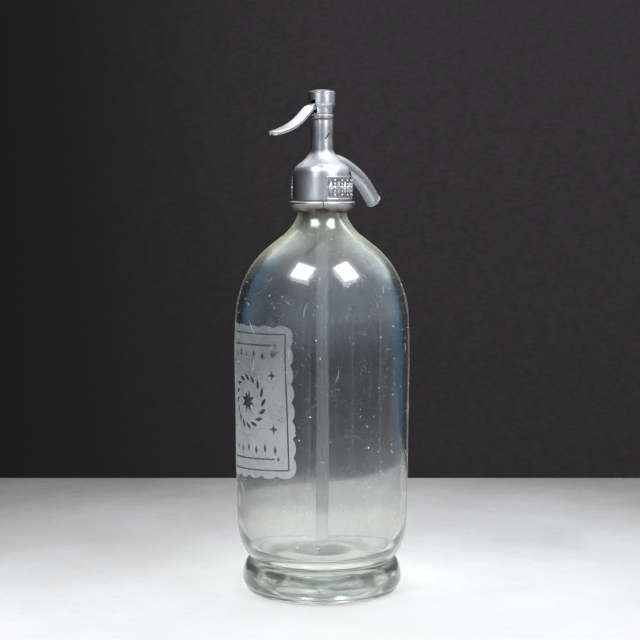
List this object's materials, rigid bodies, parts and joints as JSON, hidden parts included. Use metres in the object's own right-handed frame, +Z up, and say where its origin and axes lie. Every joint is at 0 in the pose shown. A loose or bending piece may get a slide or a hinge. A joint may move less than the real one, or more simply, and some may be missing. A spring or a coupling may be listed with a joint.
{
  "type": "soda siphon",
  "caption": "Glass soda siphon with a foot ring, a clamped cast metal head, a curved spout and a thumb lever that lifts the sprung valve inside the column.",
  "frame": {"origin": "on the bottle's axis, in the plane that the foot ring stands on", "axes": "+Z up along the bottle's axis; +X towards the spout, -X towards the thumb lever"},
  "size_m": [0.1072, 0.1072, 0.305],
  "materials": {
    "bottle_glass": "clear pressed glass with a faint green-grey tint, smooth and scuffed",
    "tube_glass": "clear drawn glass",
    "head_metal": "polished tin alloy, bluish silver, dulled and scratched",
    "valve_brass": "turned brass",
    "drawn_steel": "plain drawn steel",
    "seal_rubber": "matt black rubber",
    "piston_leather": "waxed leather",
    "packing_cord": "tarred cord packing"
  },
  "bodies": {
    "siphon": {"bottle": "bottle_glass", "dip_tube": "tube_glass", "tube_sleeve": "seal_rubber", "tube_holder": "valve_brass", "neck_gasket": "seal_rubber", "head_gasket": "seal_rubber", "collar_half_spout_side": "head_metal", "collar_half_lever_side": "head_metal", "collar_packing": "packing_cord", "head_body": "head_metal", "spout": "head_metal", "lever_housing": "head_metal", "cap": "head_metal", "cap_lock_screw": "drawn_steel", "lever_pin": "drawn_steel", "return_spring": "drawn_steel"},
    "lever": {"lever": "head_metal"},
    "valve": {"valve_stem": "valve_brass", "valve_washer": "seal_rubber", "valve_cup": "valve_brass", "valve_screw": "drawn_steel", "piston_nut": "valve_brass", "piston_leather": "piston_leather", "piston_plate": "valve_brass"}
  },
  "joints": [
    {"name": "valve_lift", "type": "slide", "parent": "siphon", "child": "valve", "axis": [0, 0, 1], "range_m": [0, 0.0015], "stiffness_N_per_m": 2500, "springref_m": -0.004, "deforming": ["return_spring"]},
    {"name": "lever_press", "type": "hinge", "parent": "siphon", "child": "lever", "pos_m": [-0.0054, 0, 0.2949], "axis": [0, -1, 0], "range_deg": [0, 16]}
  ],
  "couplings": [
    {"joint": "lever_press", "follows": "valve_lift", "rad_per_m": 185.2}
  ]
}
